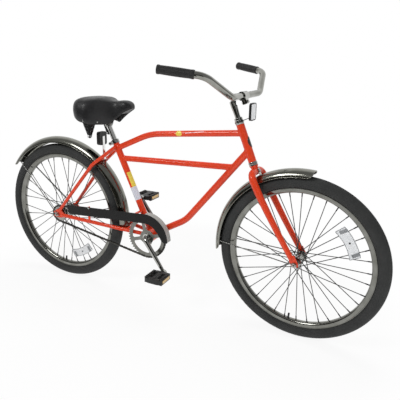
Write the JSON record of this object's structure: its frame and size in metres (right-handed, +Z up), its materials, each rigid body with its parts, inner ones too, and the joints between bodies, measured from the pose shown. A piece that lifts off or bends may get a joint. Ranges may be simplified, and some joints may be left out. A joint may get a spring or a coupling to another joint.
{
  "type": "bicycle",
  "caption": "Step-over leisure bicycle with balloon tyres, swept handlebar, fenders, chain guard and sprung saddle; it steers, rolls and pedals, and its seat adjusts.",
  "frame": {"origin": "the point where the rear tyre meets the ground, in the bicycle's middle plane", "axes": "+X towards the front of the bicycle, +Y towards the rider's left, +Z up; the chain is on the -Y side"},
  "size_m": [1.8344, 0.6379, 1.0615],
  "materials": {
    "red_paint": "gloss enamel",
    "chrome": "polished plating",
    "zinc_steel": "zinc plated",
    "ring_steel": "plated, satin",
    "dark_steel": "dark, oiled",
    "tyre_rubber": "matte",
    "grip_rubber": "matte",
    "black_plastic": "satin",
    "black_vinyl": "grained, satin",
    "black_paint": "gloss enamel",
    "amber_lens": "ribbed lens",
    "clear_lens": "ribbed lens",
    "red_lens": "ribbed lens"
  },
  "bodies": {
    "frame": {"frame": "red_paint", "headset_lower_cup": "chrome", "headset_upper_cup": "chrome", "head_badge": "chrome", "crank_bearing_cup_right": "zinc_steel", "crank_bearing_cup_left": "zinc_steel", "seat_clamp_collar": "chrome", "seat_clamp_bolt": "zinc_steel", "rear_fender": "chrome", "rear_fender_stay": "chrome", "chain_guard": "black_paint", "chain_guard_bolt": "chrome", "rear_reflector": "black_plastic", "rear_reflector_lens": "red_lens", "rear_axle": "zinc_steel", "coaster_brake_arm": "zinc_steel", "chain": "dark_steel"},
    "steering": {"fork": "red_paint", "fork_crown_race": "chrome", "headset_locknut": "chrome", "stem": "chrome", "stem_bolt": "zinc_steel", "stem_clamp_bolt": "zinc_steel", "handlebar": "chrome", "grip_right": "grip_rubber", "grip_left": "grip_rubber", "front_reflector": "black_plastic", "front_reflector_lens": "clear_lens", "front_fender": "chrome", "front_fender_stay": "chrome", "front_axle": "zinc_steel"},
    "front_wheel": {"front_tyre": "tyre_rubber", "front_rim": "chrome", "front_hub": "chrome", "front_valve": "black_plastic", "front_spoke_reflector": "clear_lens"},
    "rear_wheel": {"rear_tyre": "tyre_rubber", "rear_rim": "chrome", "rear_hub": "chrome", "rear_valve": "black_plastic", "rear_spoke_reflector": "clear_lens"},
    "rear_driver": {"rear_sprocket": "zinc_steel"},
    "crank": {"crank": "chrome", "chainring": "ring_steel", "crank_locknut": "zinc_steel", "pedal_spindle_right": "zinc_steel", "pedal_spindle_left": "zinc_steel"},
    "pedal_right": {"pedal_right": "black_plastic", "pedal_reflector_right_front": "amber_lens", "pedal_reflector_right_rear": "amber_lens"},
    "pedal_left": {"pedal_left": "black_plastic", "pedal_reflector_left_front": "amber_lens", "pedal_reflector_left_rear": "amber_lens"},
    "seat_post": {"seat_post": "chrome", "saddle_clamp": "zinc_steel"},
    "saddle": {"saddle_frame": "dark_steel", "saddle_pan": "black_plastic", "saddle_cover": "black_vinyl", "saddle_spring_right": "dark_steel", "saddle_spring_left": "dark_steel"}
  },
  "joints": [
    {"name": "steering", "type": "hinge", "parent": "frame", "child": "steering", "pos_m": [1.11053, 0, 0.31273], "axis": [-0.3907, 0, 0.9205], "range_deg": [-50, 60]},
    {"name": "front_wheel_spin", "type": "hinge", "parent": "steering", "child": "front_wheel", "pos_m": [1.1628, -0.00497, 0.33492], "axis": [0.0802, 0.9962, 0.0341], "continuous": true},
    {"name": "rear_wheel_spin", "type": "hinge", "parent": "frame", "child": "rear_wheel", "pos_m": [0, 0, 0.335], "axis": [0, 1, 0], "continuous": true},
    {"name": "rear_driver_spin", "type": "hinge", "parent": "frame", "child": "rear_driver", "pos_m": [0, 0, 0.335], "axis": [0, 1, 0], "continuous": true},
    {"name": "crank_spin", "type": "hinge", "parent": "frame", "child": "crank", "pos_m": [0.4975, 0, 0.3085], "axis": [0, 1, 0], "continuous": true, "deforming": ["chain"]},
    {"name": "pedal_right_spin", "type": "hinge", "parent": "crank", "child": "pedal_right", "pos_m": [0.60448, -0.13, 0.17638], "axis": [0, 1, 0], "continuous": true},
    {"name": "pedal_left_spin", "type": "hinge", "parent": "crank", "child": "pedal_left", "pos_m": [0.39052, 0.13, 0.44061], "axis": [0, 1, 0], "continuous": true},
    {"name": "seat_height", "type": "slide", "parent": "frame", "child": "seat_post", "axis": [-0.4242, 0, 0.9056], "range_m": [-0.04, 0.05]},
    {"name": "saddle_tilt", "type": "hinge", "parent": "seat_post", "child": "saddle", "pos_m": [0.26355, 0, 0.80792], "axis": [0, 1, 0], "range_deg": [-8, 8]}
  ],
  "couplings": [
    {"joint": "rear_driver_spin", "follows": "crank_spin", "ratio": 2.4211}
  ]
}
